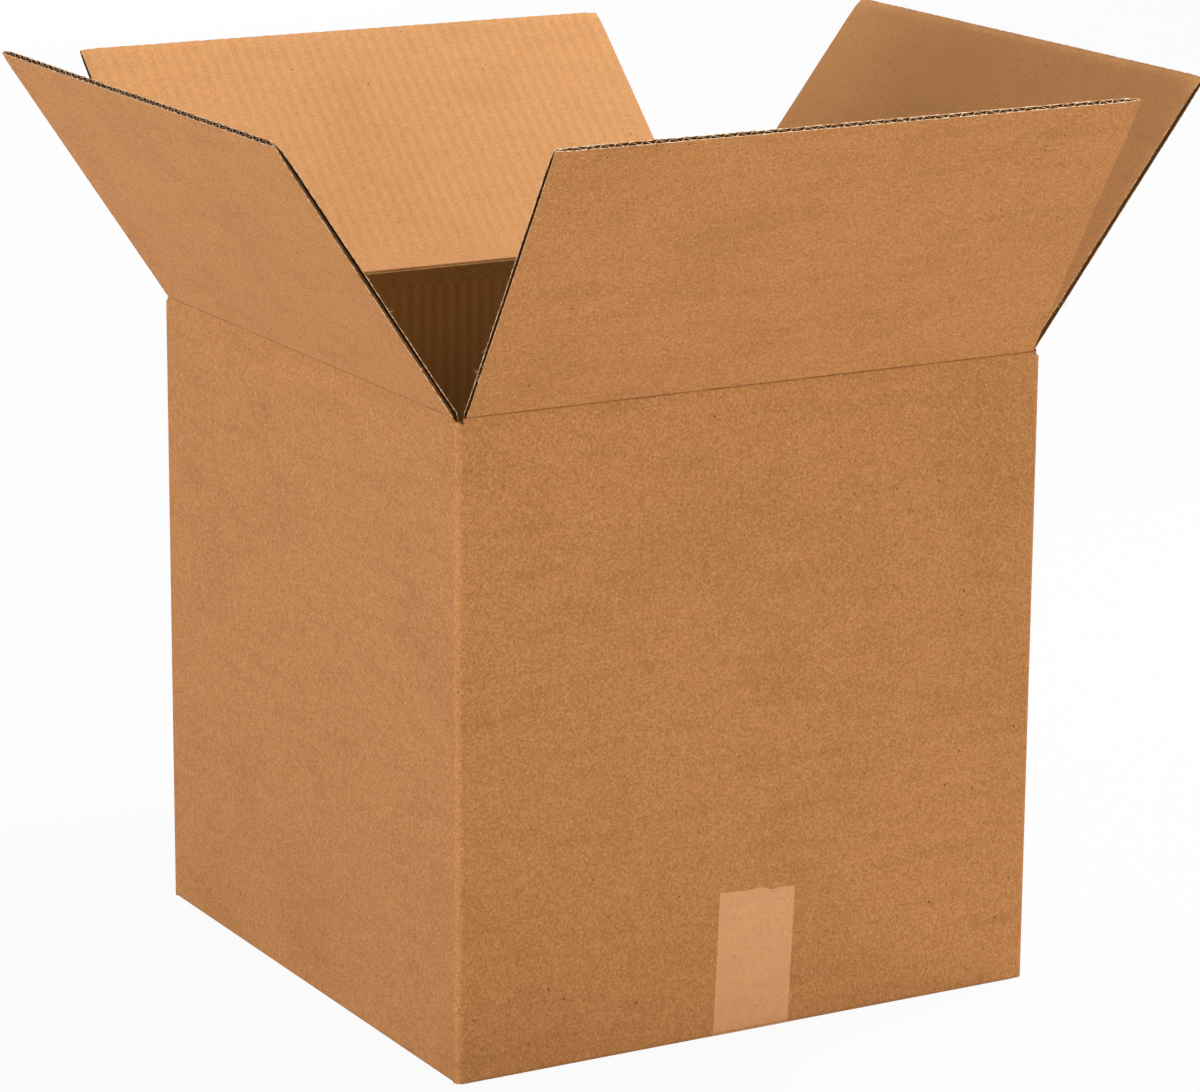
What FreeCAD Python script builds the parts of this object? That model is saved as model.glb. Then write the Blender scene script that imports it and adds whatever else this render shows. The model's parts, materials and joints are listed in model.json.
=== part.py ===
"""An open corrugated carton: one folded sheet, its four open top flaps and a strip of packing tape.

The carton stands on the floor, centred on the origin, with +Z up. The front is -Y and the left is -X.
The taped seam runs from front to back. Lengths are in millimetres and angles in degrees.
"""
import FreeCAD, Part
import math
import os

import Sketcher

SIZES = [
    # The walls. A 14 in cube inside, plus a board on each side.
    ("box_width", 364, "outside the left and right walls"),
    ("box_depth", 364, "outside the front and back walls"),
    ("crease_height", 366, "floor to the crease that every top flap turns on"),
    ("fold_radius", 4, "outer radius of a folded corner"),
    # The board, C flute.
    ("board", 4, "thickness of the whole board"),
    ("liner", 0.5, "paper on each face of the board"),
    ("medium", 0.45, "fluted paper between the liners"),
    ("flute_pitch", 7.9, "one wave of the fluted paper"),
    ("flute_land", 0.75, "half of the strip where a flute is glued to its liner"),
    # The flaps.
    ("middle_gap", 6, "between two flaps that meet when closed"),
    ("slot_half", 5, "from a corner of the box to the end of a crease, past fold_radius"),
    ("flap_trim", 0.6, "from the end of a crease to the side of its flap"),
    ("slot_depth", 3, "from the crease down to the end of a top slot"),
    ("corner_lift", 1.5, "from the floor up to the end of a bottom slot"),
    ("crease_clearance", 0.2, "from a crease to the board on each side of it"),
    ("layer_gap", 0.3, "between the closed inner and outer flaps"),
    ("front_tilt", 31.5, "front flap, outwards from upright"),
    ("left_tilt", 34, "left flap, outwards from upright"),
    ("back_tilt", 46.5, "back flap, outwards from upright"),
    ("right_tilt", 37.5, "right flap, outwards from upright"),
    # The glued joint at the back right corner.
    ("tab_width", 35, "how far the glue tab reaches along the right wall"),
    ("tab_board", 3, "thickness of the pressed tab"),
    ("tab_end", 14, "from the folds to the tab, and the rise of its slanted ends"),
    ("seam_width", 0.6, "open seam beside the lapped board edge"),
    ("seam_depth", 1.2, "depth of that seam"),
    # The tape.
    ("tape_width", 48, "a 48 mm roll"),
    ("tape_film", 0.1, "thickness of film and glue"),
    ("tape_tail", 82, "height of the tape's ends on the front and back walls"),
    ("tape_middle", 0.7, "where the tape's middle crosses the front edge"),
    ("tape_lean", 2.4, "how far the tape runs off square"),
    ("tape_cut", 4.5, "how far its torn ends run off level"),
]

doc = FreeCAD.newDocument("open_carton")
sheet = doc.addObject("Spreadsheet::Sheet", "Sizes")
for row, (name, size, note) in enumerate(SIZES, start=1):
    sheet.set("A%d" % row, note)
    sheet.set("B%d" % row, str(size))
    sheet.setAlias("B%d" % row, name)
doc.recompute()

# Lengths that follow from the sheet, each an expression in its cells.
# OUTER is a wall's outer face, INNER its inner face, BEND the middle of a corner's radius and SLOT the end
# of a crease. REACH is a flap's length from its crease.
OUTER_X = "(Sizes.box_width / 2)"
OUTER_Y = "(Sizes.box_depth / 2)"
INNER_X = "(%s - Sizes.board)" % OUTER_X
INNER_Y = "(%s - Sizes.board)" % OUTER_Y
BEND_X = "(%s - Sizes.fold_radius)" % OUTER_X
BEND_Y = "(%s - Sizes.fold_radius)" % OUTER_Y
SLOT_X = "(%s - Sizes.slot_half)" % OUTER_X
SLOT_Y = "(%s - Sizes.slot_half)" % OUTER_Y
FRONT_CREASE = "(2 * %s)" % SLOT_X
SIDE_CREASE = "(2 * %s)" % SLOT_Y
OUTER_REACH = "((Sizes.box_width - Sizes.middle_gap) / 2)"
INNER_REACH = "((Sizes.box_depth - Sizes.middle_gap) / 2)"
WALL_FOOT = "(3 * Sizes.board)"
WALL_HEAD = "(Sizes.crease_height - 3 * Sizes.board)"
SLOT_END = "(Sizes.crease_height - Sizes.slot_depth)"
FOLD = "Sizes.fold_radius"


def minus(size):
    return "(-1 * %s)" % size


def new_body(name):
    body = doc.addObject("PartDesign::Body", name)
    body.Label = name
    return body


def new_sketch(body, name, plane, offset="0"):
    """A sketch on one of the body's origin planes, moved along the plane's normal by offset."""
    sketch = body.newObject("Sketcher::SketchObject", name)
    support = next(feature for feature in body.Origin.OriginFeatures if feature.Role == plane)
    sketch.AttachmentSupport = (support, [""])
    sketch.MapMode = "FlatFace"
    sketch.setExpression("AttachmentOffset.Base.z", offset)
    return sketch


def outline(sketch, corners, arcs=None, flip=(1, 1)):
    """Draws a closed outline. Each corner is two expressions, its distances from the sketch's origin.
    arcs gives the centre and the radius of each edge that is an arc, by the number of the corner it leaves.
    flip mirrors the outline across the sketch's axes."""
    def placed(pair):
        return ["(%d * %s)" % (way, size) for way, size in zip(flip, pair)]

    def at(pair):
        return FreeCAD.Vector(*[float(sketch.evalExpression(size)) for size in pair], 0)

    corners = [placed(corner) for corner in corners]
    points = [at(corner) for corner in corners]
    edges = []
    rules = []
    for i, start in enumerate(points):
        end = points[(i + 1) % len(points)]
        if i not in (arcs or {}):
            number = sketch.addGeometry(Part.LineSegment(start, end), False)
            edges.append((number, 1, 2))
            continue
        centre_at, radius = arcs[i]
        centre = at(placed(centre_at))
        first, last = start - centre, end - centre
        turns_left = first.cross(last).z > 0
        if not turns_left:
            first, last = last, first
        circle = Part.Circle(centre, FreeCAD.Vector(0, 0, 1), first.Length)
        arc = Part.ArcOfCircle(circle, math.atan2(first.y, first.x), math.atan2(last.y, last.x))
        number = sketch.addGeometry(arc, False)
        edges.append((number, 1, 2) if turns_left else (number, 2, 1))
        rules.append((Sketcher.Constraint("Radius", number, first.Length), radius))
    for i, (number, start, end) in enumerate(edges):
        next_number, next_start, _ = edges[(i + 1) % len(edges)]
        rules.append((Sketcher.Constraint("Coincident", number, end, next_number, next_start), None))
        for way, distance, size in zip(("DistanceX", "DistanceY"), points[i], corners[i]):
            rules.append((Sketcher.Constraint(way, -1, 1, number, start, distance), size))
    numbers = sketch.addConstraint([rule for rule, _ in rules])
    for number, (_, size) in zip(numbers, rules):
        if size is not None:
            sketch.setExpression("Constraints[%d]" % number, size)


def add_pad(body, name, sketch, length, both_ways=False, reverse=False):
    pad = body.newObject("PartDesign::Pad", name)
    pad.Profile = sketch
    pad.setExpression("Length", length)
    pad.Midplane = both_ways
    pad.Reversed = reverse


def add_cut(body, name, sketch, depth=None):
    """A pocket upwards by depth, or through everything on both sides of the sketch."""
    pocket = body.newObject("PartDesign::Pocket", name)
    pocket.Profile = sketch
    if depth is None:
        pocket.Type = "ThroughAll"
        pocket.Midplane = True
    else:
        pocket.Reversed = True
        pocket.setExpression("Length", depth)
    return pocket


# Creases
# An outer flap (left, right) turns about its crease. An inner flap (front, back) has to close one board
# lower, under the outer ones, so it rolls about a line that lies a little below its crease.

def pivot_drop(tilt):
    """How far below its crease an inner flap turns: open at tilt it starts at the crease, and closed it
    lies a board and the layer gap below it."""
    return "((Sizes.board + Sizes.layer_gap) / (1 + sin(%s)))" % tilt


FLAPS = {
    "front_flap": dict(turn=0, tilt="Sizes.front_tilt", drop=pivot_drop("Sizes.front_tilt"),
                       crease=FRONT_CREASE, reach=INNER_REACH, across="0", along=minus(OUTER_Y)),
    "back_flap": dict(turn=180, tilt="Sizes.back_tilt", drop=pivot_drop("Sizes.back_tilt"),
                      crease=FRONT_CREASE, reach=INNER_REACH, across="0", along=OUTER_Y),
    "left_flap": dict(turn=-90, tilt="Sizes.left_tilt", drop="0",
                      crease=SIDE_CREASE, reach=OUTER_REACH, across=minus(OUTER_X), along="0"),
    "right_flap": dict(turn=90, tilt="Sizes.right_tilt", drop="0",
                       crease=SIDE_CREASE, reach=OUTER_REACH, across=OUTER_X, along="0"),
}


def wall_top(outer, inner, flap):
    """The cross-section of a wall's top: its corners, and its rounded rim if the flap rolls over it.
    The slanted end is half of the mitre that opens as the flap tilts outwards."""
    drop, tilt = flap["drop"], flap["tilt"]
    pivot = "(Sizes.crease_height - %s)" % drop
    lean = "(%s * (cos(%s) - sin(%s)) - Sizes.crease_clearance)" % (drop, tilt, tilt)
    corners = [(inner, WALL_HEAD), (outer, WALL_HEAD),
               (outer, "(Sizes.crease_height - Sizes.crease_clearance)"),
               (inner, "(%s + %s - Sizes.board)" % (pivot, lean))]
    if drop == "0":
        return corners, {}
    rim = "(%s - Sizes.crease_clearance)" % drop
    reach = "((%s + sqrt(2 * %s ^ 2 - %s ^ 2)) / 2)" % (lean, rim, lean)
    corners.insert(3, ("(%s - %s)" % (outer, reach), "(%s + %s - %s)" % (pivot, lean, reach)))
    return corners, {2: ((outer, pivot), rim)}


# The folded sheet

def add_walls(case):
    """The four walls between the bottom folds and the wall tops. Three corners are folded. At the back
    right the right wall's cut edge laps the back wall."""
    plan = new_sketch(case, "wall_plan", "XY_Plane", WALL_FOOT)
    outline(plan, [
        (minus(OUTER_X), minus(BEND_Y)), (minus(BEND_X), minus(OUTER_Y)), (BEND_X, minus(OUTER_Y)),
        (OUTER_X, minus(BEND_Y)), (OUTER_X, OUTER_Y), (minus(BEND_X), OUTER_Y), (minus(OUTER_X), BEND_Y)],
        {0: ((minus(BEND_X), minus(BEND_Y)), FOLD), 2: ((BEND_X, minus(BEND_Y)), FOLD),
         5: ((minus(BEND_X), BEND_Y), FOLD)})
    outline(plan, [(minus(INNER_X), minus(INNER_Y)), (INNER_X, minus(INNER_Y)), (INNER_X, INNER_Y),
                   (minus(INNER_X), INNER_Y)])
    add_pad(case, "walls", plan, "%s - %s" % (WALL_HEAD, WALL_FOOT))


def add_corners(case, name, start, height, reverse):
    """Carries the four corners on to the ends of the slots between the flaps."""
    plan = new_sketch(case, name + "_plan", "XY_Plane", start)
    arms = [(SLOT_X, INNER_Y), (SLOT_X, OUTER_Y)], [(OUTER_X, SLOT_Y), (INNER_X, SLOT_Y), (INNER_X, INNER_Y)]
    folded = arms[0] + [(BEND_X, OUTER_Y), (OUTER_X, BEND_Y)] + arms[1]
    lapped = arms[0] + [(OUTER_X, OUTER_Y)] + arms[1]
    for flip in ((-1, -1), (1, -1), (-1, 1)):
        outline(plan, folded, {2: ((BEND_X, BEND_Y), FOLD)}, flip)
    outline(plan, lapped)
    add_pad(case, name, plan, height, reverse=reverse)


def add_bottom_flaps(case):
    """The outer pair lies on the floor. The inner pair lies on top of it and comes down to the floor at
    its crushed creases."""
    outer = new_sketch(case, "outer_bottom_section", "XZ_Plane")
    outer_tip = "(%s - %s)" % (OUTER_X, OUTER_REACH)
    outer_fold = [(OUTER_X, WALL_FOOT), (INNER_X, WALL_FOOT), (INNER_X, "Sizes.board"),
                  (outer_tip, "Sizes.board"), (outer_tip, "0"), (BEND_X, "0"), (OUTER_X, FOLD)]
    inner = new_sketch(case, "inner_bottom_section", "YZ_Plane")
    inner_tip = "(%s - %s)" % (OUTER_Y, INNER_REACH)
    bend_height = "(Sizes.tape_film + %s)" % FOLD
    inner_fold = [(OUTER_Y, WALL_FOOT), (INNER_Y, WALL_FOOT), (INNER_Y, "(2 * Sizes.board)"),
                  (inner_tip, "(2 * Sizes.board)"), (inner_tip, "Sizes.board"), (SLOT_Y, "Sizes.board"),
                  (BEND_Y, "Sizes.tape_film"), (OUTER_Y, bend_height)]
    for side in (-1, 1):
        outline(outer, outer_fold, {5: ((BEND_X, FOLD), FOLD)}, (side, 1))
        outline(inner, inner_fold, {6: ((BEND_Y, bend_height), FOLD)}, (side, 1))
    add_pad(case, "outer_bottom_flaps", outer, SIDE_CREASE, both_ways=True)
    add_pad(case, "inner_bottom_flaps", inner, FRONT_CREASE, both_ways=True)


def add_wall_tops(case, name, plane, outer, inner, crease, flaps):
    section = new_sketch(case, name + "_section", plane)
    for side, flap in zip((-1, 1), flaps):
        corners, arcs = wall_top(outer, inner, FLAPS[flap])
        outline(section, corners, arcs, (side, 1))
    add_pad(case, name, section, crease, both_ways=True)


def add_lap_joint(case):
    """The back panel ends in a glue tab inside the right wall. Outside, a seam runs beside the cut edge."""
    tab = new_sketch(case, "glue_tab_outline", "YZ_Plane", "%s - Sizes.tab_board" % INNER_X)
    edge = "(%s - Sizes.tab_width)" % INNER_Y
    low = "(2 * Sizes.board + Sizes.tab_end)"
    high = "(%s - Sizes.tab_end)" % WALL_HEAD
    outline(tab, [(INNER_Y, low), (INNER_Y, high), (edge, "(%s - Sizes.tab_end)" % high),
                  (edge, "(%s + Sizes.tab_end)" % low)])
    add_pad(case, "glue_tab", tab, "Sizes.tab_board")
    seam = new_sketch(case, "lap_seam_plan", "XY_Plane")
    side = "(%s - Sizes.seam_width)" % INNER_X
    floor = "(%s - Sizes.seam_depth)" % OUTER_Y
    outline(seam, [(side, floor), (INNER_X, floor), (INNER_X, OUTER_Y), (side, OUTER_Y)])
    add_cut(case, "lap_seam", seam)


def make_case():
    case = new_body("folded_case")
    add_walls(case)
    add_corners(case, "lower_corners", WALL_FOOT, "%s - Sizes.corner_lift" % WALL_FOOT, reverse=True)
    add_corners(case, "upper_corners", WALL_HEAD, "%s - %s" % (SLOT_END, WALL_HEAD), reverse=False)
    add_bottom_flaps(case)
    add_wall_tops(case, "end_wall_tops", "YZ_Plane", OUTER_Y, INNER_Y, FRONT_CREASE,
                  ("front_flap", "back_flap"))
    add_wall_tops(case, "side_wall_tops", "XZ_Plane", OUTER_X, INNER_X, SIDE_CREASE,
                  ("left_flap", "right_flap"))
    add_lap_joint(case)
    # The tape is pressed into the bottom flaps by its own thickness, so the carton stands flat.
    seat = new_sketch(case, "tape_seat_plan", "XY_Plane")
    outline(seat, tape_strip())
    add_cut(case, "tape_seat", seat, "Sizes.tape_film")
    return case


# The tape
# It is straight but runs a little off square. On the walls its edges lean by the same angle.

TAPE_HALF = "(Sizes.tape_width / 2 / cos(Sizes.tape_lean))"
BACK_MIDDLE = "(Sizes.tape_middle - tan(Sizes.tape_lean) * 2 * %s)" % BEND_Y
TURN_TOP = "(Sizes.tape_film + %s)" % FOLD


def tape_strip():
    """Corners of the strip along the bottom, in plan."""
    return [("(%s - %s)" % ("Sizes.tape_middle", TAPE_HALF), minus(BEND_Y)),
            ("(%s + %s)" % ("Sizes.tape_middle", TAPE_HALF), minus(BEND_Y)),
            ("(%s + %s)" % (BACK_MIDDLE, TAPE_HALF), BEND_Y),
            ("(%s - %s)" % (BACK_MIDDLE, TAPE_HALF), BEND_Y)]


def tape_end(middle, lean):
    """Corners of the tape's end on a wall, in front view. lean is its drift across for each mm up."""
    rise = "(Sizes.tape_tail - %s)" % TURN_TOP
    slope = "tan(Sizes.tape_cut)"
    across = "(%s / (1 + %s * %s))" % (TAPE_HALF, lean, slope)
    tip = "(%s + %s * %s)" % (middle, lean, rise)
    return [("(%s - %s)" % (middle, TAPE_HALF), TURN_TOP),
            ("(%s + %s)" % (middle, TAPE_HALF), TURN_TOP),
            ("(%s + %s)" % (tip, across), "(Sizes.tape_tail - %s * %s)" % (slope, across)),
            ("(%s - %s)" % (tip, across), "(Sizes.tape_tail + %s * %s)" % (slope, across))]


def make_tape():
    tape = new_body("bottom_tape")
    strip = new_sketch(tape, "bottom_strip_plan", "XY_Plane")
    outline(strip, tape_strip())
    add_pad(tape, "bottom_strip", strip, "Sizes.tape_film")
    turn = [(OUTER_Y, TURN_TOP), (BEND_Y, "Sizes.tape_film"), (BEND_Y, "0"),
            ("(%s + Sizes.tape_film)" % OUTER_Y, TURN_TOP)]
    centre = (BEND_Y, TURN_TOP)
    lean = "tan(Sizes.tape_lean)"
    for name, side, middle, drift in (("front", -1, "Sizes.tape_middle", lean),
                                      ("back", 1, BACK_MIDDLE, minus(lean))):
        bend = new_sketch(tape, name + "_turn_section", "YZ_Plane", middle)
        outline(bend, turn, {0: (centre, FOLD), 2: (centre, "(Sizes.tape_film + %s)" % FOLD)}, (side, 1))
        add_pad(tape, name + "_turn", bend, "2 * %s" % TAPE_HALF, both_ways=True)
        end = new_sketch(tape, name + "_end_outline", "XZ_Plane", "(%d * %s)" % (-side, OUTER_Y))
        outline(end, tape_end(middle, drift))
        add_pad(tape, name + "_end", end, "Sizes.tape_film", reverse=side > 0)
    return tape


# The top flaps

def make_flap(name, flap):
    """A flap in its own frame: it stands upright on its pivot, the local X axis, with its outer face to -Y.
    Its placement tilts it and turns it to its wall."""
    body = new_body(name)
    drop, tilt = flap["drop"], flap["tilt"]
    outer_face = "(%s * sin(%s))" % (drop, tilt)
    inner_face = "(%s + Sizes.board)" % outer_face
    start = "(%s * cos(%s) + Sizes.crease_clearance)" % (drop, tilt)
    end = "(%s * cos(%s) + %s)" % (drop, tilt, flap["reach"])
    width = "(%s - 2 * Sizes.flap_trim)" % flap["crease"]
    section = new_sketch(body, name + "_section", "YZ_Plane")
    outline(section, [(outer_face, start), (inner_face, "(%s + Sizes.board)" % start), (inner_face, end),
                      (outer_face, end)])
    add_pad(body, name + "_board", section, width, both_ways=True)

    # The flutes. One wave leaves two tunnels, one under each liner, along the flap's whole reach. The waves
    # start and end half a tunnel outside the flap, so that its sides are cut through a flute.
    count = "ceil(%s / Sizes.flute_pitch)" % width
    inside = "((0.5 - %s) * Sizes.flute_pitch / 2)" % count
    outside = "(%s + Sizes.flute_pitch / 2)" % inside
    wide = "(Sizes.flute_pitch / 2 - Sizes.flute_land - Sizes.medium / 1.5)"
    under_outer = "(%s + Sizes.liner)" % outer_face
    under_inner = "(%s - Sizes.liner)" % inner_face
    ends = new_sketch(body, name + "_flute_ends", "XY_Plane")
    for middle, base, peak in ((inside, under_inner, "(%s + Sizes.medium)" % under_outer),
                               (outside, under_outer, "(%s - Sizes.medium)" % under_inner)):
        outline(ends, [("(%s - %s)" % (middle, wide), base), ("(%s + %s)" % (middle, wide), base),
                       ("(%s + Sizes.flute_land)" % middle, peak),
                       ("(%s - Sizes.flute_land)" % middle, peak)])
    tunnels = add_cut(body, name + "_tunnels", ends)
    doc.recompute()
    waves = body.newObject("PartDesign::LinearPattern", name + "_waves")
    waves.Originals = [tunnels]
    waves.Direction = (ends, ["H_Axis"])
    waves.setExpression("Occurrences", count)
    waves.setExpression("Length", "(%s - 1) * Sizes.flute_pitch" % count)
    body.Tip = waves
    body.setExpression(
        "Placement", "placement(vector(%s; %s; Sizes.crease_height - %s); "
        "rotation(vector(0; 0; 1); %d) * rotation(vector(1; 0; 0); %s))"
        % (flap["across"], flap["along"], drop, flap["turn"], tilt))
    return body


parts = [make_case(), make_tape()] + [make_flap(name, flap) for name, flap in FLAPS.items()]
doc.recompute()

failed = [thing.Label for thing in doc.Objects if "Invalid" in thing.State or "Error" in thing.State]
if failed:
    raise RuntimeError("these objects failed: %s" % ", ".join(failed))
for part in parts:
    if part.Shape.isNull() or not part.Shape.isValid() or len(part.Shape.Solids) != 1:
        raise RuntimeError("%s is not one valid solid" % part.Label)

os.makedirs("parts", exist_ok=True)
for part in parts:
    part.Shape.exportStep("parts/%s.step" % part.Label)
    box = part.Shape.BoundBox
    print("%-12s %4d faces, %9.0f mm3, x %.1f to %.1f, y %.1f to %.1f, z %.1f to %.1f" % (
        part.Label, len(part.Shape.Faces), part.Shape.Volume,
        box.XMin, box.XMax, box.YMin, box.YMax, box.ZMin, box.ZMax))
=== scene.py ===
# %% [markdown]
# # An open cardboard carton
#
# The carton is one sheet of corrugated board, folded, glued at one corner and taped along the bottom. Its
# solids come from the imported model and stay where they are. This file gives them their looks: the brown
# paper, the flutes that show wherever the board was cut, the pressed creases that the flaps turn on, and
# the strip of tape. Lengths are in metres and angles in degrees, unless a name says otherwise.

import json
import math
import random

import bmesh
import bpy
from mathutils import Matrix, Vector, noise


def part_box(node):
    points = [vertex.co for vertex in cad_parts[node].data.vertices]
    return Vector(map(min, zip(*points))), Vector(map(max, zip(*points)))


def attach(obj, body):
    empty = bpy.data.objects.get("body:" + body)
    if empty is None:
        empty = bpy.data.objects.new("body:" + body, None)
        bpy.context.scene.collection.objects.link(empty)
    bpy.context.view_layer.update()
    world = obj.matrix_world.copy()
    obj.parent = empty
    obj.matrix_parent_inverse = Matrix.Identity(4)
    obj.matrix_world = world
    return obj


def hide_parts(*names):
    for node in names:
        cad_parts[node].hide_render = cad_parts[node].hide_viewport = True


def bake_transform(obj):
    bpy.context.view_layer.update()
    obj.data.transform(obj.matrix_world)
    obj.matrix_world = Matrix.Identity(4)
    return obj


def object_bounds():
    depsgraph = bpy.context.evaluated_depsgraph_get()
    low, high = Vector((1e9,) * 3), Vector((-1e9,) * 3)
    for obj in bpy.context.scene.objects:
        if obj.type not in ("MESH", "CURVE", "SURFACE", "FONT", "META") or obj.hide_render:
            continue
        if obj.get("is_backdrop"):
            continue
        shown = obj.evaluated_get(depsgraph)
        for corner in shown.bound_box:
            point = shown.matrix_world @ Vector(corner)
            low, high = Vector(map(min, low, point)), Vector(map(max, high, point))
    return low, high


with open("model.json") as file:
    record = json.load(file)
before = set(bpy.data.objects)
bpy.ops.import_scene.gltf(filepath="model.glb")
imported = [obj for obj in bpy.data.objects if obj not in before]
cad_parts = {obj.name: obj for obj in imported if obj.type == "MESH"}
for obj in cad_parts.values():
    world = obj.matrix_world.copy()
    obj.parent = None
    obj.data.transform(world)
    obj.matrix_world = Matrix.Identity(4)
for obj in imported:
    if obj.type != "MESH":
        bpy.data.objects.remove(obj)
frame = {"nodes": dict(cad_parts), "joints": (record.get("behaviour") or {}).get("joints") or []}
cad_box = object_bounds()
MM = 0.001
UP = Vector((0, 0, 1))

# %% [markdown]
# ## The camera
#
# The photograph was taken with a long lens from the front left, a little above the carton. A camera is
# easiest to check when it is given as a photographer would say it: where it aims, from which side, how
# high, how far away and with which lens. The numbers come from fitting the carton's corners to the picture.

# %% The camera
AIM = Vector((0.00473, -0.00268, 0.23536))
CAMERA_SIDE = -29.52
CAMERA_HEIGHT = 14.45
CAMERA_ROLL = 0.40
CAMERA_DISTANCE = 2.7303
LENS_MM = 143.26


def add_camera():
    side, height = math.radians(CAMERA_SIDE), math.radians(CAMERA_HEIGHT)
    flat = Vector((math.sin(side), -math.cos(side), 0))
    away = flat * math.cos(height) + UP * math.sin(height)
    level = away.to_track_quat("Z", "Y").to_matrix().to_4x4()
    camera = bpy.data.objects.new("camera", bpy.data.cameras.new("camera"))
    camera.matrix_world = (Matrix.Translation(AIM + away * CAMERA_DISTANCE) @ level
                           @ Matrix.Rotation(math.radians(CAMERA_ROLL), 4, "Z"))
    camera.data.lens = LENS_MM
    camera.data.sensor_width = 36
    bpy.context.scene.collection.objects.link(camera)
    bpy.context.scene.camera = camera
    return camera


camera = add_camera()
print("camera at", [round(c, 3) for c in camera.location])

# %% [markdown]
# ## Colours and nodes
#
# Colours are written as they look on a screen, as hex. Shaders work with linear light, so one function
# turns the first into the second. Another adds a node, sets its inputs and links them in one line, and a
# third lays one tone over another, as a printer lays inks. A noise lies around 0.5 and seldom leaves 0.25 to
# 0.75, so a mask made of noise starts and ends between those two.


# %% Helpers for materials
def linear(hex_colour):
    """Linear red, green, blue and alpha for an sRGB hex colour."""
    shares = [int(hex_colour[i:i + 2], 16) / 255 for i in (0, 2, 4)]
    return tuple(c / 12.92 if c <= 0.04045 else ((c + 0.055) / 1.055) ** 2.4 for c in shares) + (1.0,)


def new_material(name, roughness):
    material = bpy.data.materials.new(name)
    material.use_nodes = True
    shader_of(material).inputs["Roughness"].default_value = roughness
    return material


def shader_of(material):
    return material.node_tree.nodes["Principled BSDF"]


def node(material, kind, inputs=None, **settings):
    """Adds a node and gives back its outputs. inputs sets or links its sockets, by name or number."""
    new = material.node_tree.nodes.new("ShaderNode" + kind)
    for name, value in settings.items():
        setattr(new, name, value)
    for socket, value in (inputs or {}).items():
        if isinstance(value, bpy.types.NodeSocket):
            material.node_tree.links.new(value, new.inputs[socket])
        else:
            new.inputs[socket].default_value = value
    return new.outputs


def plug(material, socket, value):
    material.node_tree.links.new(value, shader_of(material).inputs[socket])


def millimetres(material):
    """The place on the piece in millimetres, so that every pattern can be given at its real size."""
    place = node(material, "TexCoord")["Object"]
    return node(material, "VectorMath", {0: place, 1: (1000, 1000, 1000)}, operation="MULTIPLY")[0]


def maths(material, operation, *values):
    return node(material, "Math", dict(enumerate(values)), operation=operation)[0]


def clouds(material, place, size_mm, detail):
    return node(material, "TexNoise", {"Vector": place, "Scale": 1 / size_mm, "Detail": detail})[0]


def lay(material, base, tone, amount, mask, start, end):
    """Lays a tone over base: none of it where mask is at start, and amount of it where mask is at end."""
    ends = {0: mask, 1: start, 2: end, 4: amount}
    share = node(material, "MapRange", ends, interpolation_type="SMOOTHSTEP")[0]
    return node(material, "Mix", {0: share, 6: base, 7: tone}, data_type="RGBA")[2]


def seen_rays(material):
    """1 for what the camera sees, straight, mirrored or through glass, and 0 for light on its way to the
    carton."""
    rays = node(material, "LightPath")
    mirrored = maths(material, "MAXIMUM", rays["Is Glossy Ray"], rays["Is Transmission Ray"])
    return maths(material, "MAXIMUM", rays["Is Camera Ray"], mirrored)


# %% [markdown]
# ## Kraft paper
#
# The board's faces are kraft liner: unbleached pulp, pressed on a paper machine and left uncoated. It
# scatters light evenly, so it is very rough and has hardly any gloss. Its brown is a mix, of fibres that lie
# in darker and paler clumps a few millimetres across, a few specks of bark, and faint streaks and patches
# as large as a hand. Under it the flutes print through as shallow ridges, more inside than outside. Inside,
# the walls get a darker, greyer tone, partly the inner liner's own and partly painted shade, with more
# painted shade the further down they are.
#
# A picture of real paper would show its edges where it repeats. Noise never repeats, so the paper is all
# noise here, at sizes in millimetres, on Object coordinates: it runs on without a seam from a wall over the
# crease into the flap. The crease's dark line, partly a stain of the pressed fibres and partly a painted
# shadow of the score, and a band of painted shade under it come from an attribute of the mesh, which is 0
# on a piece that has none.

# %% Kraft paper
FLUTE_PITCH_MM = 7.9
PATCHES_MM = 70
STREAKS_MM = 9
STREAK_STRETCH = (0.16, 0.16, 1)
CLUMPS_MM = 4.5
FIBRES_MM = 1.2
CLUMP_RISE = 0.10 * MM
FIBRE_RISE = 0.09 * MM
SPECK_CELLS_MM = 9
SPECK_RADIUS = 0.10
SPECK_RIM = 0.03
KRAFT = linear("c08551")
KRAFT_DARK = linear("7c4a20")
KRAFT_PALE = linear("f0c08c")
BARK = linear("3c200e")
# The crease's dark line, partly a stain of the pressed fibres and partly a painted shadow of the score, and
# the painted shade under it.
CREASE_STAIN_AND_SHADE = linear("6a3c18")
FLAP_INSIDE = linear("c28c58")
# The fluting's own darker brown, made darker still as painted shade for the flutes' hollows. The liners'
# faces toward the flutes get it too.
FLUTING_BROWN_AND_SHADE = linear("6a4624")
# The inside walls' tone: partly the inner liner's greyer colour, partly painted shade. It is also the painted
# shade under the flaps' inner creases.
INSIDE_TONE_AND_SHADE = linear("9c763e")
# Painted shade on the inside walls, laid on more the further down they are, between the two heights below.
DEEP_PAINTED_SHADE = linear("604519")
DARKER_FROM_MM = 348
DARKEST_FROM_MM = 213
INNER_RIDGE_MM = 0.06
OUTER_RIDGE_MM = 0.015
CALM = 0.6


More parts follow.
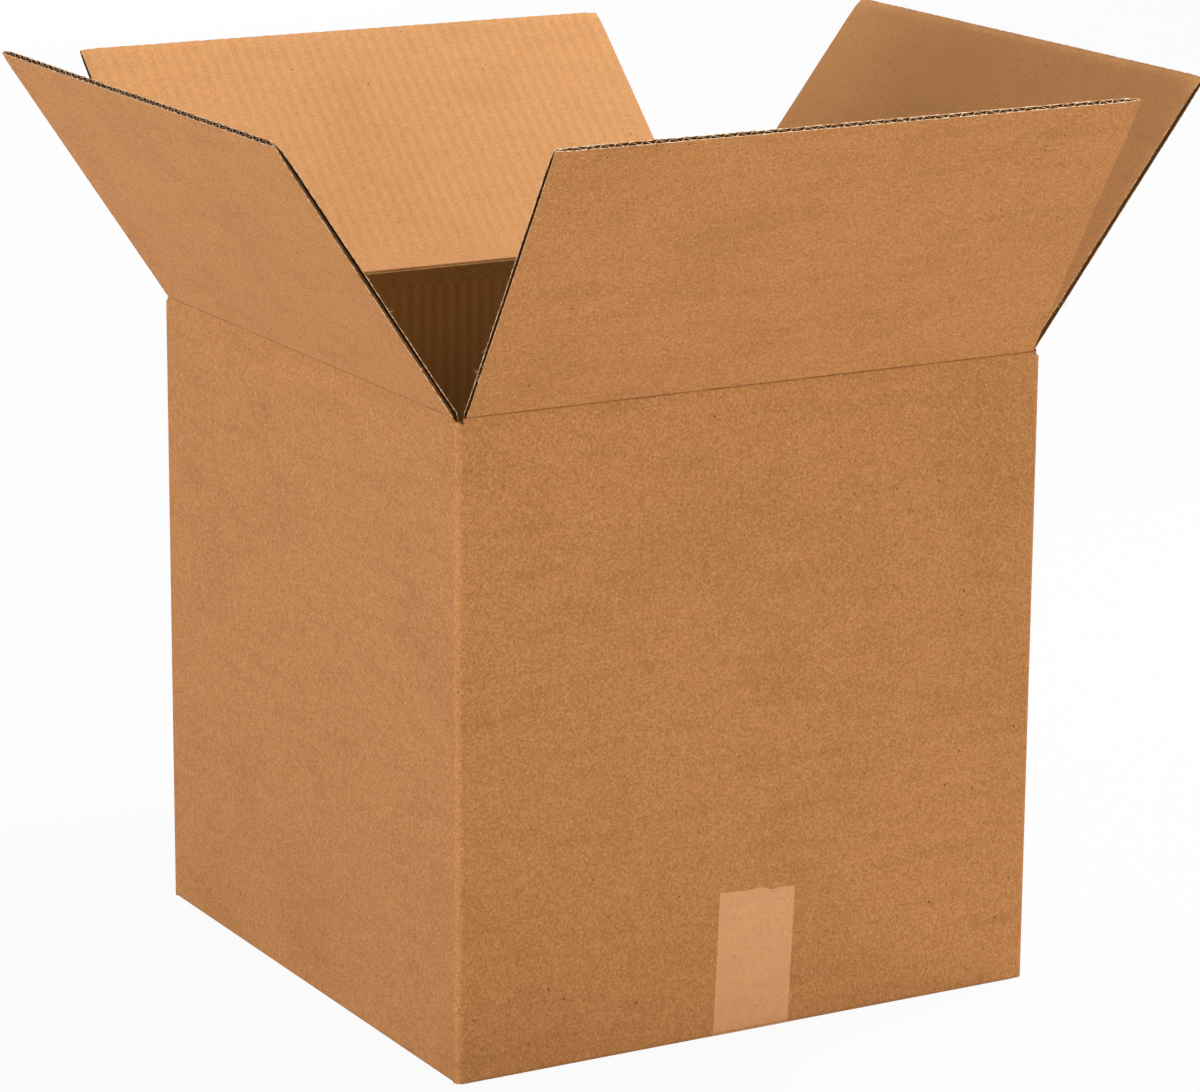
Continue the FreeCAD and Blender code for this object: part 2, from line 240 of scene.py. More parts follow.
def fibre_tones(m, mm, colour, contrast):
    """The mottle of the pulp, from a hand's breadth down to a fibre, and its specks. A speck is a dot in the
    middle of a cell. Each cell has a size of its own for it, and two cells in five have none."""
    tone = lay(m, colour, KRAFT_DARK, 0.10 * contrast, clouds(m, mm, PATCHES_MM, 3), 0.45, 0.7)
    long_run = node(m, "VectorMath", {0: mm, 1: STREAK_STRETCH}, operation="MULTIPLY")[0]
    tone = lay(m, tone, KRAFT_DARK, 0.13 * contrast, clouds(m, long_run, STREAKS_MM, 3), 0.48, 0.72)
    clumps = clouds(m, mm, CLUMPS_MM, 3)
    tone = lay(m, tone, KRAFT_DARK, 0.11 * contrast, clumps, 0.5, 0.75)
    tone = lay(m, tone, KRAFT_PALE, 0.08 * contrast, clumps, 0.48, 0.25)
    fibres = clouds(m, mm, FIBRES_MM, 2)
    tone = lay(m, tone, KRAFT_DARK, 0.40 * contrast, fibres, 0.5, 0.72)
    tone = lay(m, tone, KRAFT_PALE, 0.30 * contrast, fibres, 0.48, 0.26)
    cells = node(m, "TexVoronoi", {"Vector": mm, "Scale": 1 / SPECK_CELLS_MM})
    chosen = node(m, "SeparateColor", {0: cells["Color"]})[0]
    reach = node(m, "MapRange", {0: chosen, 1: 0.4, 2: 1.0, 3: 0.0, 4: SPECK_RADIUS})[0]
    inside = maths(m, "SUBTRACT", reach, cells["Distance"])
    return lay(m, tone, BARK, 0.7, inside, 0.0, SPECK_RIM), clumps, fibres


def looks_inwards(m, mm):
    """1 on the walls' inner faces and on what faces up, and 0 elsewhere, from where a face is and how it is
    turned."""
    normal = node(m, "TexCoord")["Normal"]
    level = node(m, "VectorMath", {0: mm, 1: (1, 1, 0), 2: (0, 0, -1000)}, operation="MULTIPLY_ADD")[0]
    outwards = node(m, "VectorMath", {0: normal, 1: level}, operation="DOT_PRODUCT")[1]
    return maths(m, "LESS_THAN", outwards, 0.0)


def flute_ridges(m, mm, inwards, inner_mm, outer_mm):
    """Ridges that cross a wall a flute apart. Each wall's own normal says which way they run."""
    facing = node(m, "SeparateXYZ", {0: node(m, "TexCoord")["Normal"]})
    at = node(m, "SeparateXYZ", {0: mm})
    side_wall = maths(m, "GREATER_THAN", maths(m, "ABSOLUTE", facing[0]), maths(m, "ABSOLUTE", facing[1]))
    across = node(m, "Mix", {0: side_wall, 2: at[0], 3: at[1]})[0]
    wave = maths(m, "SINE", maths(m, "MULTIPLY", across, 2 * math.pi / FLUTE_PITCH_MM))
    height = node(m, "Mix", {0: inwards, 2: outer_mm * MM, 3: inner_mm * MM})[0]
    return maths(m, "MULTIPLY", wave, height)


def kraft_paper(name, colour=KRAFT, contrast=1.0, roughness=0.86):
    """Gives the paper, and what its pattern is made with, for a finish that adds to it. A contrast below 1
    gives a calmer sheet."""
    m = new_material(name, roughness)
    shader_of(m).inputs["Specular IOR Level"].default_value = 0.25
    mm = millimetres(m)
    tone, clumps, fibres = fibre_tones(m, mm, colour, contrast)
    # The crease's line, partly stain and partly painted shadow, and the painted shade under it, from the
    # mesh's attribute.
    pressed = node(m, "Attribute", attribute_name="pressed")["Fac"]
    tone = lay(m, tone, CREASE_STAIN_AND_SHADE, 1.0, pressed, 0.0, 1.0)
    height = maths(m, "MULTIPLY_ADD", fibres, FIBRE_RISE, maths(m, "MULTIPLY", clumps, CLUMP_RISE))
    plug(m, "Base Color", tone)
    plug(m, "Normal", node(m, "Bump", {"Distance": 1.0, "Height": height})[0])
    return m, mm, tone, height


def wall_paper():
    """The liner of the walls, with the flutes printing through, and inside a darker, greyer tone that is
    partly painted shade, with more painted shade towards the bottom.
    """
    m, mm, tone, height = kraft_paper("kraft_liner_walls")
    inwards = looks_inwards(m, mm)
    # Painted shade, partly the inner liner's own greyer tone: inner faces and faces that look up get the
    # darker inside tone.
    tone = lay(m, tone, INSIDE_TONE_AND_SHADE, 0.85, inwards, 0.0, 1.0)
    # More painted shade the further down the inside walls it is.
    level = node(m, "SeparateXYZ", {0: mm})[2]
    down = node(m, "MapRange", {0: level, 1: DARKER_FROM_MM, 2: DARKEST_FROM_MM})[0]
    deep = maths(m, "MULTIPLY", down, inwards)
    plug(m, "Base Color", lay(m, tone, DEEP_PAINTED_SHADE, 0.8, deep, 0.0, 1.0))
    ridged = maths(m, "ADD", height, flute_ridges(m, mm, inwards, INNER_RIDGE_MM, OUTER_RIDGE_MM))
    plug(m, "Normal", node(m, "Bump", {"Distance": 1.0, "Height": ridged})[0])
    return m


case_paper = wall_paper()
flap_paper = kraft_paper("kraft_liner_outside")[0]
inner_paper = kraft_paper("kraft_liner_inside", FLAP_INSIDE, CALM)[0]
# Fluting paper: its own darker brown, plus painted shade for the flutes' hollows.
fluting_and_shade_paper = kraft_paper("kraft_fluting", FLUTING_BROWN_AND_SHADE, CALM)[0]
# Painted shade: the darker inside tone on the inner liner's lap on the wall under the crease.
shaded_paper = kraft_paper("kraft_liner_in_shade", INSIDE_TONE_AND_SHADE, CALM)[0]
print("kraft paper:", len(case_paper.node_tree.nodes), "nodes")

# %% [markdown]
# ## Cut paper
#
# A knife leaves the sheet's rim fuzzy, and the cut fibres are paler than the face beside it. The pale tone
# is made brighter still, as a painted highlight where the rims face the light.

# %% Cut paper
CUT_BROWN = linear("b07c4a")
# Partly the cut fibres' own pale tone, partly a painted highlight.
CUT_PALE_AND_HIGHLIGHT = linear("f6dcb8")
CUT_FUZZ_MM = 2.2


def cut_paper():
    m = new_material("kraft_cut_rim", 0.95)
    tone = lay(m, CUT_BROWN, CUT_PALE_AND_HIGHLIGHT, 1.0, clouds(m, millimetres(m), CUT_FUZZ_MM, 3), 0.38, 0.62)
    plug(m, "Base Color", tone)
    return m


cut_rim = cut_paper()

# %% [markdown]
# ## The folded case
#
# The walls and the bottom are plain flat board, and the solids already have their folded corners, the slots
# and the lapped joint at the back. They only need their paper.

# %% The folded case gets its paper
case = frame["nodes"]["folded_case"]
case.data.materials.clear()
case.data.materials.append(case_paper)
print("folded_case:", len(case.data.polygons), "triangles")

# %% [markdown]
# ## The open flaps
#
# Each flap is a piece of C-flute board: two liners, with a wavy sheet glued between them. Where it was cut,
# the waves show as a row of small arches. At the crease the board was pressed thin, and both liners run on
# without a break into the wall. So each flap is built here as what it is, three sheets of paper, from just
# below its crease to its free edge.
#
# A flap could be drawn as one thick plate with the arches in a picture on its edge, but then the cuts would
# have no depth and no shadow. Instead each sheet starts as a flat grid, is laid along the flap, and gets its
# paper's thickness last. Where a flap is, and how far it stands open, is read from the imported joints.

# %% Where the flaps are
BOARD = 4 * MM
crease_height = max(joint["pos_m"][2] for joint in frame["joints"])


class Flap:
    """A flap's own directions: axis runs along its crease, along leads away from the crease and face out of
    its outer face. On the wall below, UP and out take the place of along and face."""

    def __init__(self, joint):
        self.name = joint["child"]
        self.axis = Vector(joint["axis"])
        self.tilt = math.radians(-joint["range_deg"][0] - 90)
        self.out = self.axis.cross(UP)
        self.crease = Vector((joint["pos_m"][0], joint["pos_m"][1], crease_height))
        self.along = self.turned(1) @ UP
        self.face = self.turned(1) @ self.out
        self.halfway = self.turned(0.5) @ UP
        low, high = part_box(self.name)
        self.width = abs((high - low).dot(self.axis))
        self.reach = (high.z - crease_height - BOARD * math.sin(self.tilt)) / math.cos(self.tilt)

    def turned(self, share):
        """The turn about the crease, from the wall at 0 to the flap at 1."""
        return Matrix.Rotation(self.tilt * share, 3, self.axis)


flaps = [Flap(joint) for joint in frame["joints"]]
for flap in flaps:
    print("%s: %.1f x %.1f mm, %.1f degrees open" % (
        flap.name, flap.width / MM, flap.reach / MM, math.degrees(flap.tilt)))

# %% [markdown]
# ### The board's section
#
# Two numbers describe a point of the board: how far it is from the crease along the sheet, negative on the
# wall, and how deep it lies under the outer face. The outer face turns over the crease in a small bend. The
# board was pressed in along the crease, with a narrow score outside. Its cut edges were crushed a little by
# the knife and by handling, most of all at the free corners. Both liners give way there, the inner one more.

# %% The board's section
BEND = 1.2 * MM
WALL_LAP = 12 * MM
PRESS_DEPTH = 0.6 * MM
PRESS_WIDTH = 0.6 * MM
SCORE_DEPTH = 0.35 * MM
SCORE_WIDTH = 0.45 * MM
MITRE_NEAR = 2 * MM
MITRE_FAR = 20 * MM
CRUSH_END = 0.5 * MM
CRUSH_END_REACH = 5 * MM
CRUSH_SIDE = 0.45 * MM
CRUSH_SIDE_REACH = 4 * MM
CRUSH_CORNER = 1.3 * MM
CRUSH_CORNER_REACH = 12 * MM
CRUSH_WAVES_PER_METRE = 70
CRUSHED_OUTSIDE = 0.35


def fade(value, start, end):
    """1 at start and 0 at end, with a soft step between."""
    share = min(max((end - value) / (end - start), 0), 1)
    return share * share * (3 - 2 * share)


def bell(value, width):
    return math.exp(-(value / width) ** 2)


def outer_face(flap, along):
    """A point of the outer face and the way out of it. Over the bend it follows a parabola."""
    if along <= -BEND:
        return flap.crease + UP * along, flap.out
    if along >= BEND:
        return flap.crease + flap.along * along, flap.face
    share = (along + BEND) / (2 * BEND)
    drop, rise = (1 - share) ** 2 * BEND, share ** 2 * BEND
    return flap.crease - UP * drop + flap.along * rise, flap.turned(share) @ flap.out


def crushed(flap, across, along):
    """How much of the board's thickness its cut edges have lost here."""
    from_end = flap.reach - along
    from_side = flap.width / 2 - abs(across)
    uneven = 1.1 + 0.5 * noise.noise(Vector((across, along, flap.tilt)) * CRUSH_WAVES_PER_METRE)
    end = CRUSH_END * uneven * fade(from_end, 0, CRUSH_END_REACH)
    side = CRUSH_SIDE * uneven * fade(from_side, 0, CRUSH_SIDE_REACH)
    return end + side + CRUSH_CORNER * fade(math.hypot(from_end, from_side), 0, CRUSH_CORNER_REACH)


def thickness(flap, across, along):
    return BOARD - PRESS_DEPTH * bell(along, PRESS_WIDTH) - crushed(flap, across, along)


def in_board(flap, across, along, share):
    """A point of the board, from share 0 on the outer face to 1 on the inner one, and the way out. Near the
    crease the layers meet in a mitre, as the inner ones have the longer way round."""
    point, out = outer_face(flap, along)
    score = SCORE_DEPTH * bell(along, SCORE_WIDTH)
    depth = score + CRUSHED_OUTSIDE * crushed(flap, across, along) + share * thickness(flap, across, along)
    shift = depth * math.tan(flap.tilt / 2) * fade(abs(along), MITRE_NEAR, MITRE_FAR)
    if along > 0:
        point -= flap.face * depth + flap.along * shift
    else:
        point -= flap.out * depth - UP * shift
    return point + flap.axis * across, out


# %% [markdown]
# ### A sheet of paper
#
# A grid's rows are spread unevenly here, close together at the crease and at the free edge, where the sheet
# bends and frays. The knife and the slotter leave ragged cuts, so the last row and the columns on both sides
# are moved by a fraction of a millimetre. Blender starts its vector noise from the clock, so it gets a seed
# first, and the cuts come out the same each time. Last, solidify gives the sheet its thickness.

# %% A sheet of paper
RAGGED = 0.5 * MM
RAGGED_WAVES_PER_METRE = 900
RAGGED_SEED = 1
AT_RIM = 0.499
SLOT_DEPTH = 3.2 * MM
SLOT_ROUND = {"outer": 1.2 * MM, "inner": 0.2 * MM, "fluting": 0}
noise.seed_set(RAGGED_SEED)


def between(share, stops, places):
    """The place that a share of the rows has come to. Each stop is a share, and has its place."""
    step = next(i for i in range(1, len(stops)) if share <= stops[i] + 1e-6)
    part = (share - stops[step - 1]) / (stops[step] - stops[step - 1])
    return places[step - 1] + part * (places[step] - places[step - 1])


def sheet_of_paper(flap, layer, columns, rows, stops, places, lay_at, paper):
    """lay_at says where a point of the sheet comes to lie, and paper is the sheet's thickness. It grows
    outwards where paper is above zero, and inwards below it. Beside the slots the sheet gets wider towards
    the wall, so that a slot ends in a round and not in a square."""
    bm = bmesh.new()
    bmesh.ops.create_grid(bm, x_segments=columns, y_segments=rows, size=0.5)
    for vert in bm.verts:
        across, along = vert.co.x * flap.width, between(vert.co.y + 0.5, stops, places)
        frayed = noise.noise_vector(Vector((across, along, flap.tilt)) * RAGGED_WAVES_PER_METRE)
        if abs(vert.co.x) > AT_RIM:
            across -= math.copysign(RAGGED, across) * (0.5 + 0.5 * frayed.x)
        if vert.co.y > AT_RIM:
            along -= RAGGED * (0.5 + 0.5 * frayed.y)
        below = min(max(-along / SLOT_DEPTH, 0), 1)
        across *= 1 + SLOT_ROUND[layer] * below ** 2 / (flap.width / 2)
        vert.co = lay_at(across, along)
    bm.normal_update()
    middle = flap.crease + flap.along * flap.reach / 2
    nearest = min(bm.faces, key=lambda face: (face.calc_center_median() - middle).length)
    if nearest.normal.dot(flap.face) * paper > 0:
        bmesh.ops.reverse_faces(bm, faces=bm.faces)
    bmesh.ops.solidify(bm, geom=bm.faces, thickness=abs(paper))
    bmesh.ops.recalc_face_normals(bm, faces=bm.faces)
    return bm


# %% [markdown]
# ### Liners and fluting
#
# The fluting is a sine wave that just reaches both liners. Each liner sinks a little between the flutes
# that hold it, so the flutes show as faint ridges in raking light. The outer liner stays flatter, because
# it is the side that the maker keeps good. On the wall both liners stand proud of the solid by less than
# the thickness of a hair and sink into it at their ends, so that no edge shows. On real board it is chance
# where in a wave a cut falls, so a flap can be given a start of its own.

# %% Liners and fluting
LINER = 0.4 * MM
MEDIUM = 0.3 * MM
FLUTE_PITCH = FLUTE_PITCH_MM * MM
PLAIN_START = 0.25
FLUTE_START = {"left_flap": 0.12}
SINK = {"outer": 0.03 * MM, "inner": 0.3 * MM}
SINK_NONE = 4 * MM
SINK_FULL = 14 * MM
PROUD = 0.04 * MM
PROUD_FULL = 2 * MM
PROUD_NONE = 10 * MM
BURIED = 0.06 * MM
BURIED_NONE = -9 * MM
CREASE_REACH = 2.2 * MM
EDGE_REACH = 7 * MM
LINER_STOPS = (0, 0.1, 0.2, 0.55, 0.7, 0.9, 1)
LINER_ROWS = 60
LINER_COLUMNS_PER_WAVE = 4
FLUTING_STOPS = (0, 0.3, 0.5, 0.75, 1)
FLUTING_ROWS = 20
FLUTING_COLUMNS_PER_WAVE = 12
LEAST_SWING = 0.1 * MM


def flute(flap, across):
    """The fluting's wave: 1 where it touches the outer liner, -1 at the inner one. Its start is a share of a
    wave, counted from the middle of the flap."""
    place = across * (flap.axis.x + flap.axis.y)
    return math.cos(2 * math.pi * (place / FLUTE_PITCH + FLUTE_START.get(flap.name, PLAIN_START)))


def waves(flap):
    return math.ceil(flap.width / FLUTE_PITCH)


def liner(flap, side):
    outwards = 1 if side == "outer" else -1

    def lay_at(across, along):
        point, out = in_board(flap, across, along, 0 if side == "outer" else 1)
        sunk = SINK[side] * (1 - outwards * flute(flap, across)) / 2 * fade(along, SINK_FULL, SINK_NONE)
        proud = PROUD * fade(along, PROUD_FULL, PROUD_NONE)
        buried = (PROUD + BURIED) * fade(along, -WALL_LAP, BURIED_NONE)
        return point + out * outwards * (proud - buried - sunk)

    places = (-WALL_LAP, -5 * MM, -CREASE_REACH, CREASE_REACH, 8 * MM, flap.reach - EDGE_REACH, flap.reach)
    columns = LINER_COLUMNS_PER_WAVE * waves(flap)
    return sheet_of_paper(flap, side, columns, LINER_ROWS, LINER_STOPS, places, lay_at, -outwards * LINER)


def fluting(flap):
    def lay_at(across, along):
        centre, out = in_board(flap, across, along, 0.5)
        swing = (thickness(flap, across, along) - 2 * LINER - MEDIUM) / 2
        return centre + out * flute(flap, across) * max(swing, LEAST_SWING)

    places = (-CREASE_REACH, CREASE_REACH, 10 * MM, flap.reach - EDGE_REACH, flap.reach)
    columns = FLUTING_COLUMNS_PER_WAVE * waves(flap)
    return sheet_of_paper(flap, "fluting", columns, FLUTING_ROWS, FLUTING_STOPS, places, lay_at, MEDIUM)


# %% [markdown]
# ### Torn fibres
#
# A few fibres stand out of every cut, and where the slotter tore the board instead of cutting it there is a
# tuft. One fibre is a narrow ribbon that tapers and bends to one side. They are far too few to need a
# particle system, and as part of the board they move with it.

# %% Torn fibres
FIBRE_WIDTH = 0.2 * MM
FIBRE_THICKNESS = 0.1 * MM
FIBRE_LENGTHS_MM = (0.8, 2.2)
FIBRE_TAPER = 0.7
FIBRE_BEND = 0.6
FIBRE_LEAN = 0.8
FIBRE_ROOT = 0.6 * MM
FIBRE_SHARES = (0.05, 0.95)
FIBRES_PER_FLAP = 90
TUFT_FROM_CREASE = 29 * MM
TUFT_SPREAD = 1.2 * MM
TUFT_STRETCH = 1.8
TUFT_FIBRES = 14


def add_fibre(bm, root, direction, length, bend):
    stand = Matrix.Translation(root) @ direction.to_track_quat("Z", "Y").to_matrix().to_4x4()
    for vert in bmesh.ops.create_grid(bm, x_segments=1, y_segments=3, size=0.5)["verts"]:
        up = vert.co.y + 0.5
        half = vert.co.x * FIBRE_WIDTH * (1 - FIBRE_TAPER * up)
        vert.co = stand @ Vector((half, bend * length * up ** 2, length * up))


def torn_fibres(flap):
    """Fibres along both sides and the free edge, and one tuft on the left side, seen from outside."""
    chance = random.Random(flap.name)
    bm = bmesh.new()
    half = flap.width / 2
    for number in range(FIBRES_PER_FLAP + TUFT_FIBRES):
        side = chance.choice((-1, 1))
        if number >= FIBRES_PER_FLAP:
            across, along, way = -half, TUFT_FROM_CREASE + chance.gauss(0, TUFT_SPREAD), -flap.axis
        elif number % 3:
            across, along, way = side * half, chance.uniform(2 * MM, flap.reach), flap.axis * side
        else:
            across, along, way = chance.uniform(-half, half), flap.reach - RAGGED, flap.along
        root, out = in_board(flap, across, along, chance.choice(FIBRE_SHARES))
        lean = Vector([chance.uniform(-FIBRE_LEAN, FIBRE_LEAN) for _ in range(3)])
        length = chance.uniform(*FIBRE_LENGTHS_MM) * MM
        bend = chance.uniform(-FIBRE_BEND, FIBRE_BEND)
        if number >= FIBRES_PER_FLAP:
            length *= TUFT_STRETCH
        add_fibre(bm, root - way * FIBRE_ROOT, (way + lean).normalized(), length, bend)
    bmesh.ops.solidify(bm, geom=bm.faces, thickness=FIBRE_THICKNESS)
    return bm


# %% [markdown]
# ### One piece per flap
#
# The sheets of a flap become one object. The rims of every cut get the paler paper, partly the cut fibres'
# own tone and partly a painted highlight, and the crease gets its share of an attribute of the mesh: a thin
# dark line, partly a stain of the pressed fibres and partly a painted shadow of the score, and a soft band of
# painted shade on the wall just under it.

# %% Putting a flap together
OUTSIDE_PAPER, INSIDE_PAPER, SHADED_PAPER, FLUTING_AND_SHADE, CUT = range(5)
RIM_FACES_ALONG = 0.8
RIM_FACES_ASIDE = 0.95
HIDDEN_FACES = 0.5
SHADED_BELOW = 0.4 * MM
# How dark each flap's crease line is drawn: partly a stain of the pressed fibres, partly a painted shadow of
# the score.
STAIN_AND_SHADOW = {"front_flap": 0.75, "left_flap": 0.4}
PLAIN_STAIN_AND_SHADOW = 0.6
STAIN_AND_SHADOW_WAVES_PER_METRE = 60
LINE_WIDTH = 0.55 * MM
# Painted shade on the wall just under the crease, with how far down and how wide it lies.
SHADE = 0.10
SHADE_DROP = 3.5 * MM
SHADE_WIDTH = 5 * MM
BLEND_REACH = 3 * MM


def give_paper(bm, flap, number):
    """The sheet's own paper, the cut paper on the rims that the knife left, the darker fluting paper as
    painted shade on the liners' faces toward the flutes, and the shaded paper, painted shade, on the inner
    liner from the crease down."""
    hidden_way = {OUTSIDE_PAPER: -1, INSIDE_PAPER: 1}.get(number, 0)
    outwards = flap.turned(0.5) @ flap.out
    bm.normal_update()
    for face in bm.faces:
        face.material_index = number
        along, aside = abs(face.normal.dot(flap.along)), abs(face.normal.dot(flap.axis))
        height = (face.calc_center_median() - flap.crease).dot(flap.halfway)
        if height > 0 and (along > RIM_FACES_ALONG or aside > RIM_FACES_ASIDE and number != FLUTING_AND_SHADE):
            face.material_index = CUT
        # Painted shade: the liners' faces toward the flutes get the dark fluting paper.
        elif face.normal.dot(outwards) * hidden_way > HIDDEN_FACES:
            face.material_index = FLUTING_AND_SHADE
        # Painted shade: the inner liner's lap on the wall, below the crease, gets the shaded paper.
        elif height < SHADED_BELOW and number == INSIDE_PAPER:
            face.material_index = SHADED_PAPER


def join(name, sheets, materials):
    """One object of several sheets, shaded smooth except over its rims."""
    mesh = bpy.data.meshes.new(name)
    whole = bmesh.new()
    for sheet in sheets:
        sheet.to_mesh(mesh)
        sheet.free()
        whole.from_mesh(mesh)
    whole.to_mesh(mesh)
    whole.free()
    for material in materials:
        mesh.materials.append(material)
    mesh.shade_smooth()
    mesh.set_sharp_from_angle(angle=math.radians(50))
    piece = bpy.data.objects.new(name, mesh)
    bpy.context.scene.collection.objects.link(piece)
    return piece


def mark_crease_and_shade(mesh, flap):
    """Writes the crease's dark line, partly a stain and partly a painted shadow of the score, and the painted
    shade under it, as an attribute of the mesh.
    """
    stain_and_shadow = STAIN_AND_SHADOW.get(flap.name, PLAIN_STAIN_AND_SHADOW)
    pressed = mesh.attributes.new("pressed", "FLOAT", "POINT")
    for vert, value in zip(mesh.vertices, pressed.data):
        off = (vert.co - flap.crease).dot(flap.halfway)
        uneven = 0.85 + 0.5 * noise.noise(vert.co * STAIN_AND_SHADOW_WAVES_PER_METRE)
        line = stain_and_shadow * uneven * bell(off, LINE_WIDTH)
        value.value = line + SHADE * bell(off + SHADE_DROP, SHADE_WIDTH)


def make_flap(flap):
    sheets = [liner(flap, "outer"), fluting(flap), liner(flap, "inner")]
    for sheet, paper in zip(sheets, (OUTSIDE_PAPER, FLUTING_AND_SHADE, INSIDE_PAPER)):
        give_paper(sheet, flap, paper)
    fibres = torn_fibres(flap)
    for face in fibres.faces:
        face.material_index = CUT
    papers = [flap_paper, inner_paper, shaded_paper, fluting_and_shade_paper, cut_rim]
    board = join(flap.name + "_board", sheets + [fibres], papers)
    mark_crease_and_shade(board.data, flap)
    start, end = flap.crease - flap.halfway * BLEND_REACH, flap.crease + flap.halfway * BLEND_REACH
    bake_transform(board)
    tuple(start)
    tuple(end)
    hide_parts(flap.name)
    return board


for flap in flaps:
    board = make_flap(flap)
    print("%s: %d faces" % (board.name, len(board.data.polygons)))

# %% [markdown]
# ## The tape
#
# One strip of clear packing tape holds the bottom flaps and runs a hand's breadth up the front and back
# walls. The film is so thin that the paper shows through, but it fills the paper's pores with glue: the brown
# turns paler and pinker, its mottle weaker and its surface smoother. So the film repeats the paper's own
# pattern, which lies on the same Object coordinates, at half its contrast.
#
# The strip is a grid bent along the way that the tape takes: down the front wall, round the fold, under the
# carton and up the back. It was laid a little off square, and its ends were torn off by hand.

# %% The tape
TAPE_WIDTH = 48 * MM
TAPE_FILM = 0.08 * MM
TAPE_TAIL = 82 * MM
TAPE_MIDDLE = 0.7 * MM
TAPE_LEAN = math.radians(2.4)
TAPE_CUT = math.radians(3.4)
TORN_REACH = 10 * MM
LIP = 1.1 * MM
NOTCH = 0.9 * MM
TORN = 0.35 * MM
TORN_WAVES = 30
WRINKLE_RISE = 0.12 * MM
WRINKLE_ACROSS = -14 * MM
WRINKLE_LENGTH = 6 * MM
WRINKLE_HEIGHT = 27 * MM
WRINKLE_WIDTH = 0.6 * MM
FOLD = 4.1 * MM
TAPE_TONE = linear("dda474")
TAPE_COLUMNS = 32
TAPE_ROWS = 260
tape_paper = kraft_paper("packing_tape_film", TAPE_TONE, contrast=0.5, roughness=0.5)[0]

tape_low, tape_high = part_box("bottom_tape")
flat_half = tape_high.y - FOLD
wall_rise = TAPE_TAIL - FOLD
turn_length = FOLD * math.pi / 2


def tape_path(along):
    """The film's outer face at a distance from the middle of the bottom, negative towards the front: how
    far back it is, how high, and the way out of it."""
    way = math.copysign(1, along)
    past = abs(along) - flat_half
    if past <= 0:
        return along, 0, -UP
    turn = min(past, turn_length) / FOLD
    out = Vector((0, way * math.sin(turn), -math.cos(turn)))
    rise = max(past - turn_length, 0)
    return way * (flat_half + FOLD * math.sin(turn)), FOLD * (1 - math.cos(turn)) + rise, out


def torn_end(across):
    """How far the torn end reaches past a straight cut, for a place across the tape: a lip in the middle and
    a notch beside it."""
    place = across / TAPE_WIDTH
    lip = LIP * bell(place - 0.02, 0.10) - NOTCH * bell(place - 0.2, 0.06)
    return lip + TORN * noise.noise(Vector((place * TORN_WAVES, 0, 0)))


def make_tape():
    bm = bmesh.new()
    bmesh.ops.create_grid(bm, x_segments=TAPE_COLUMNS, y_segments=TAPE_ROWS, size=0.5)
    total = 2 * (flat_half + turn_length + wall_rise)
    front_edge = -(flat_half + turn_length)
    for vert in bm.verts:
        across = vert.co.x * TAPE_WIDTH / math.cos(TAPE_LEAN)
        along = vert.co.y * total
        near_end = fade(total / 2 - abs(along), 0, TORN_REACH)
        along += math.copysign(near_end, along) * (torn_end(across) - math.tan(TAPE_CUT) * across)
        back, height, out = tape_path(along)
        wrinkle = bell(across - WRINKLE_ACROSS, WRINKLE_LENGTH) * bell(height - WRINKLE_HEIGHT, WRINKLE_WIDTH)
        sideways = TAPE_MIDDLE - math.tan(TAPE_LEAN) * (along - front_edge) + across
        vert.co = Vector((sideways, back, height)) + out * WRINKLE_RISE * wrinkle
    bm.normal_update()
    if min(bm.faces, key=lambda face: face.calc_center_median().z).normal.z > 0:
        bmesh.ops.reverse_faces(bm, faces=bm.faces)
    bmesh.ops.solidify(bm, geom=bm.faces, thickness=TAPE_FILM)
    bmesh.ops.recalc_face_normals(bm, faces=bm.faces)
    tape = join("bottom_tape_film", [bm], [tape_paper])
    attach(tape, "case")
    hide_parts("bottom_tape")
    return tape


tape = make_tape()
print("tape:", len(tape.data.polygons), "faces; solid from", [round(c / MM, 1) for c in tape_low],
      "to", [round(c / MM, 1) for c in tape_high], "mm")

# %% [markdown]
# ## The studio
#
# The carton stands on a sweep of pale paper. One softbox in front lights the front wall, one on the left
# lights the left wall, and one high up over the right side lights the back flap and leaves the inside dark.
# Two more keep the far sides readable. The sweep and the backdrop look white to the camera because their own
# materials say so, with no more light on the carton, and the sweep keeps a soft shadow.

# %% The studio
SWEEP_GREY = linear("b8b8b8")
SWEEP_WHITE = 0.95
SWEEP_HALF = 12
WHITE = (1, 1, 1, 1)
AMBIENT = 0.06
LAMP_AIM = Vector((0, 0, 0.25))


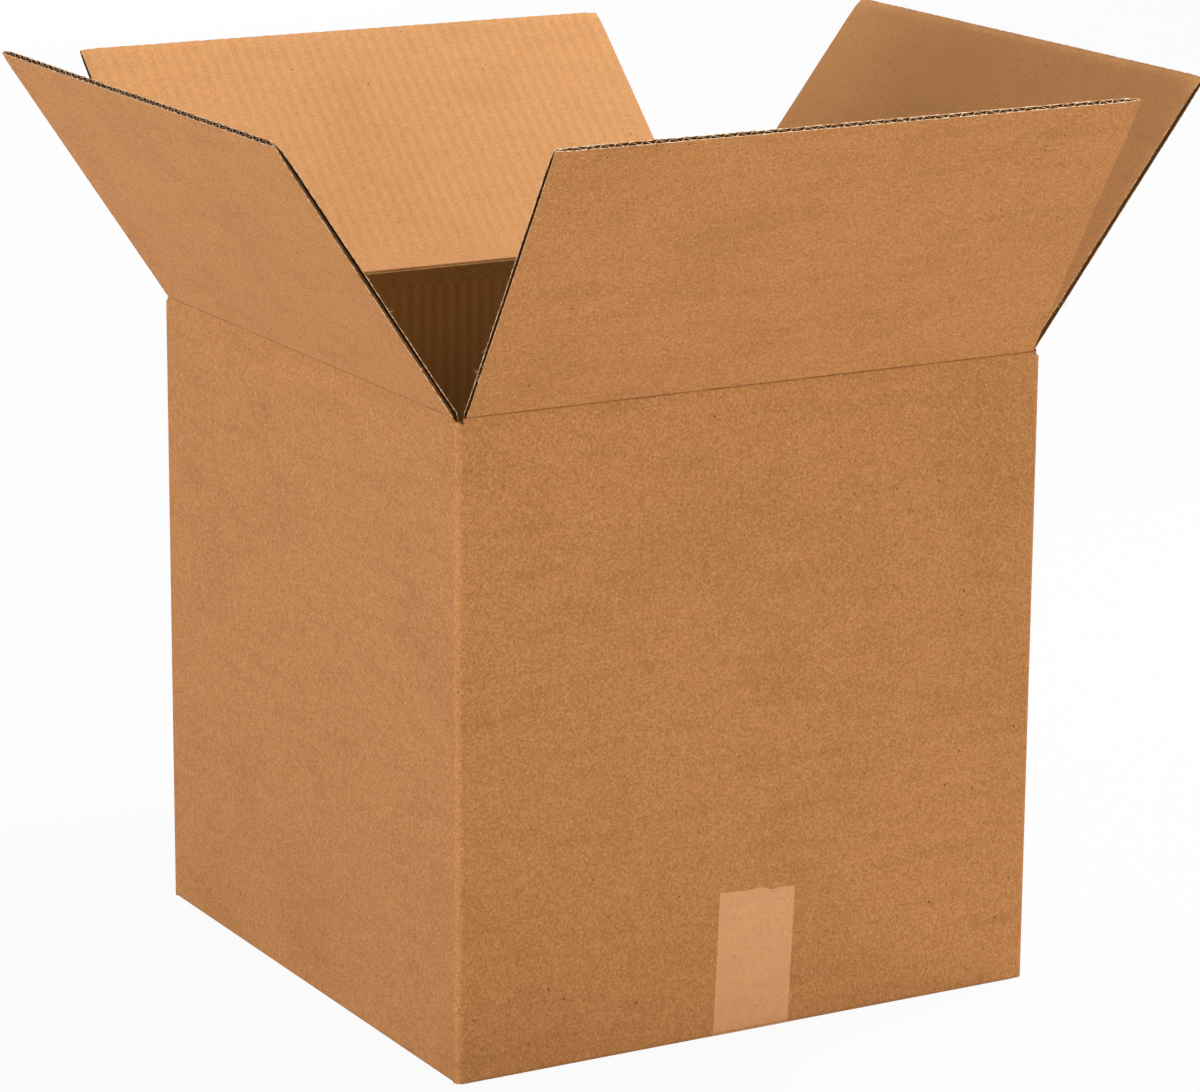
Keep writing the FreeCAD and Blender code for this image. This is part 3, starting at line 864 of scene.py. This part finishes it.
def add_sweep():
    bm = bmesh.new()
    bmesh.ops.create_grid(bm, x_segments=1, y_segments=1, size=SWEEP_HALF)
    m = new_material("white_paper_sweep", 0.9)
    shader_of(m).inputs["Base Color"].default_value = SWEEP_GREY
    white = node(m, "Emission", {"Color": WHITE, "Strength": 1.0})[0]
    share = maths(m, "MULTIPLY", seen_rays(m), SWEEP_WHITE)
    mixed = node(m, "MixShader", {0: share, 1: shader_of(m).outputs[0], 2: white})[0]
    m.node_tree.links.new(mixed, m.node_tree.nodes["Material Output"].inputs[0])
    sweep = join("sweep", [bm], [m])
    sweep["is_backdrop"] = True


def add_softbox(name, at, width, watts, tint=(1, 1, 1)):
    """A round softbox that faces the middle of the carton."""
    light = bpy.data.lights.new(name, "AREA")
    light.shape = "DISK"
    light.size = width
    light.energy = watts
    light.color = tint
    lamp = bpy.data.objects.new(name, light)
    lamp.location = at
    lamp.rotation_euler = (Vector(at) - LAMP_AIM).to_track_quat("Z", "Y").to_euler()
    bpy.context.scene.collection.objects.link(lamp)


def set_backdrop():
    """White for the camera and for reflections, and a low even light for everything else."""
    world = bpy.data.worlds.new("backdrop")
    world.use_nodes = True
    bpy.context.scene.world = world
    strength = node(world, "MapRange", {0: seen_rays(world), 3: AMBIENT, 4: 1.0})[0]
    background = world.node_tree.nodes["Background"]
    background.inputs["Color"].default_value = WHITE
    world.node_tree.links.new(strength, background.inputs["Strength"])


add_sweep()
add_softbox("front", (-0.5, -2.9, 0.35), width=1.0, watts=49, tint=(1, 0.95, 0.82))
add_softbox("left", (-3.0, 0.3, 0.05), width=1.2, watts=98)
add_softbox("top", (1.2, 0.08, 2.5), width=0.8, watts=97)
add_softbox("right_side", (3.5, 0.8, 0.5), width=1.4, watts=55)
add_softbox("back_side", (1.4, 5.0, 0.7), width=2.2, watts=120)
set_backdrop()

# %% [markdown]
# ## Size
#
# Both boxes are printed: the one of the imported solids and the one of everything drawn.

# %% Size
bpy.context.scene.view_settings.view_transform = "Standard"
boxes = {"cad": cad_box, "visual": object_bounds()}
for name, (low, high) in boxes.items():
    print(name, [round((b - a) / MM, 2) for a, b in zip(low, high)], "mm")
